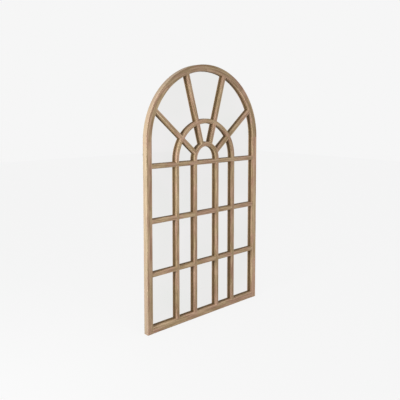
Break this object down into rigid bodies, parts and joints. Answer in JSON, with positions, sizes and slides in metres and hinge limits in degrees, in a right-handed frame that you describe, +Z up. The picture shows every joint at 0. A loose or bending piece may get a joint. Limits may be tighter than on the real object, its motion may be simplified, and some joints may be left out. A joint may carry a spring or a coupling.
{
  "type": "arched window mirror",
  "caption": "Round-headed wall mirror behind a wooden window-style glazing grille with a radial fan, hung by hinged ring hangers on its back.",
  "frame": {"origin": "bottom of the mirror, half way across its width and half way through its full depth", "axes": "+X to the right as one faces the mirror, +Y towards the wall, +Z up"},
  "size_m": [1.05, 0.047, 1.8],
  "materials": {
    "frame_wood": "oiled pale oak, fine grain",
    "bar_wood": "oiled pale oak, fine grain",
    "dowel_wood": "plain beech rod",
    "mirror_glass": "silvered float glass",
    "backing_board": "smooth brown hardboard",
    "screw_steel": "bright zinc",
    "hanger_steel": "bright zinc, pressed",
    "ring_steel": "bright zinc wire",
    "bumper_rubber": "matt black"
  },
  "bodies": {
    "mirror_body": {"frame_dowels": "dowel_wood", "crown_dowel": "dowel_wood", "board_screws": "screw_steel", "hanger_screws": "screw_steel", "left_hanger": "hanger_steel", "right_hanger": "hanger_steel", "mirror_sheet": "mirror_glass", "backing_board": "backing_board", "wall_bumpers": "bumper_rubber", "left_stile": "frame_wood", "right_stile": "frame_wood", "bottom_rail": "frame_wood", "transom": "frame_wood", "arch_left_lower": "frame_wood", "arch_left_upper": "frame_wood", "arch_right_upper": "frame_wood", "arch_right_lower": "frame_wood", "outer_left_bar": "bar_wood", "inner_left_bar": "bar_wood", "inner_right_bar": "bar_wood", "outer_right_bar": "bar_wood", "lower_bar": "bar_wood", "middle_bar": "bar_wood", "small_arch": "bar_wood", "mid_arch_left": "bar_wood", "mid_arch_right": "bar_wood", "lower_left_spoke": "bar_wood", "upper_left_spoke": "bar_wood", "upper_right_spoke": "bar_wood", "lower_right_spoke": "bar_wood"},
    "left_ring": {"left_ring": "ring_steel"},
    "right_ring": {"right_ring": "ring_steel"}
  },
  "joints": [
    {"name": "left_ring_hinge", "type": "hinge", "parent": "mirror_body", "child": "left_ring", "pos_m": [-0.511, 0.0203, 1.2], "axis": [1, 0, 0], "range_deg": [0, 180]},
    {"name": "right_ring_hinge", "type": "hinge", "parent": "mirror_body", "child": "right_ring", "pos_m": [0.511, 0.0203, 1.2], "axis": [1, 0, 0], "range_deg": [0, 180]}
  ]
}
